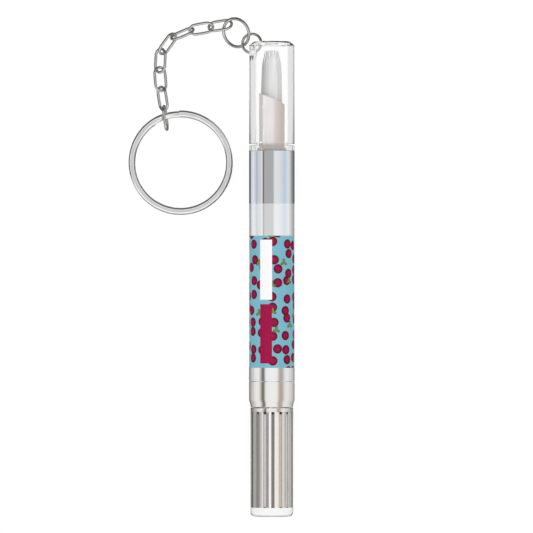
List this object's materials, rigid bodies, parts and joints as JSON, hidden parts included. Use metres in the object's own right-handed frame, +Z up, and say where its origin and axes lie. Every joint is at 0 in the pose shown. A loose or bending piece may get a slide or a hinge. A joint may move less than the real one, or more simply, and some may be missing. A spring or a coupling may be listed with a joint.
{
  "type": "cuticle oil pen keyring",
  "caption": "Twist pen for cuticle oil with a brush tip under a clear plug-on cap, joined by jump rings and a short chain of oval links to a split key ring",
  "frame": {"origin": "the middle of the knob's flat end face", "axes": "+Y along the pen from the knob to the cap; +Z up from the table that the pen and its chain lie on; the chain and the split ring lie on the -X side"},
  "size_m": [0.0456, 0.1366, 0.0124],
  "materials": {
    "clear_plastic": "clear, polished",
    "nozzle_plastic": "translucent off-white",
    "silver_plating": "bright metallised silver",
    "label_print": "printed film",
    "bristle_nylon": "fine white filaments",
    "white_plastic": "moulded",
    "seal_rubber": "moulded",
    "nickel_steel": "nickel plated"
  },
  "bodies": {
    "pen": {"reservoir": "clear_plastic", "outer_barrel": "silver_plating", "label": "label_print", "tail_collar": "silver_plating", "ratchet_ring": "white_plastic", "drive_nut": "white_plastic", "nozzle": "nozzle_plastic", "brush_plug": "white_plastic", "feed_tube": "white_plastic", "bristles": "bristle_nylon"},
    "knob": {"knob_shell": "clear_plastic", "drive_sleeve": "silver_plating"},
    "screw": {"screw_rod": "white_plastic"},
    "piston": {"piston_head": "white_plastic", "piston_seal": "seal_rubber"},
    "cap": {"cap": "clear_plastic"},
    "small_jump_ring": {"small_jump_ring": "nickel_steel"},
    "large_jump_ring": {"large_jump_ring": "nickel_steel"},
    "chain_link_1": {"chain_link_1": "nickel_steel"},
    "chain_link_2": {"chain_link_2": "nickel_steel"},
    "chain_link_3": {"chain_link_3": "nickel_steel"},
    "chain_link_4": {"chain_link_4": "nickel_steel"},
    "chain_link_5": {"chain_link_5": "nickel_steel"},
    "chain_link_6": {"chain_link_6": "nickel_steel"},
    "chain_link_7": {"chain_link_7": "nickel_steel"},
    "chain_link_8": {"chain_link_8": "nickel_steel"},
    "split_ring": {"split_ring": "nickel_steel"}
  },
  "joints": [
    {"name": "knob_twist", "type": "hinge", "parent": "pen", "child": "knob", "pos_m": [0, 0, 0], "axis": [0, 1, 0], "range_deg": [0, 3600]},
    {"name": "screw_feed", "type": "slide", "parent": "knob", "child": "screw", "axis": [0, 1, 0], "range_m": [0, 0.03]},
    {"name": "piston_feed", "type": "slide", "parent": "pen", "child": "piston", "axis": [0, 1, 0], "range_m": [0, 0.03]},
    {"name": "cap_pull", "type": "slide", "parent": "pen", "child": "cap", "axis": [0, 1, 0], "range_m": [0, 0.04]},
    {"name": "small_ring_swing", "type": "hinge", "parent": "cap", "child": "small_jump_ring", "pos_m": [-0.00414, 0.12817, 0], "axis": [-0.6817, -0.7316, 0], "range_deg": [-38, 12]},
    {"name": "large_ring_swing", "type": "hinge", "parent": "small_jump_ring", "child": "large_jump_ring", "pos_m": [-0.00759, 0.13089, -0.00126], "axis": [-0.5775, -0.8155, 0.0383], "range_deg": [-16, 16]},
    {"name": "link_1_swing", "type": "hinge", "parent": "large_jump_ring", "child": "chain_link_1", "pos_m": [-0.01289, 0.1346, -0.00311], "axis": [-0.3838, -0.7885, -0.4806], "range_deg": [-45, 45]},
    {"name": "link_2_swing", "type": "hinge", "parent": "chain_link_1", "child": "chain_link_2", "pos_m": [-0.01725, 0.13398, -0.00405], "axis": [-0.0047, -0.8279, 0.5609], "range_deg": [-45, 10]},
    {"name": "link_3_swing", "type": "hinge", "parent": "chain_link_2", "child": "chain_link_3", "pos_m": [-0.02251, 0.13306, -0.00427], "axis": [0.1706, -0.8493, -0.4996], "range_deg": [-30, 45]},
    {"name": "link_4_swing", "type": "hinge", "parent": "chain_link_3", "child": "chain_link_4", "pos_m": [-0.02749, 0.13094, -0.00428], "axis": [0.1939, -0.4609, 0.866], "range_deg": [-45, 7]},
    {"name": "link_5_swing", "type": "hinge", "parent": "chain_link_4", "child": "chain_link_5", "pos_m": [-0.03046, 0.12685, -0.00428], "axis": [-0.5721, 0.4156, 0.7071], "range_deg": [-45, 10]},
    {"name": "link_6_swing", "type": "hinge", "parent": "chain_link_5", "child": "chain_link_6", "pos_m": [-0.03073, 0.12163, -0.00428], "axis": [0.8648, -0.0453, 0.5], "range_deg": [-16, 22]},
    {"name": "link_7_swing", "type": "hinge", "parent": "chain_link_6", "child": "chain_link_7", "pos_m": [-0.03029, 0.11658, -0.00428], "axis": [-0.9474, -0.0829, 0.309], "range_deg": [-45, 45]},
    {"name": "link_8_swing", "type": "hinge", "parent": "chain_link_7", "child": "chain_link_8", "pos_m": [-0.02945, 0.11124, -0.00428], "axis": [0.6984, 0.1106, 0.7071], "range_deg": [-33, 38]},
    {"name": "split_ring_swing", "type": "hinge", "parent": "chain_link_8", "child": "split_ring", "pos_m": [-0.02925, 0.10963, -0.00428], "axis": [0.0121, -0.0373, 0.9992], "range_deg": [-34, 21]}
  ],
  "couplings": [
    {"joint": "screw_feed", "follows": "knob_twist", "m_per_rad": 0.00047746},
    {"joint": "piston_feed", "follows": "knob_twist", "m_per_rad": 0.00047746}
  ]
}
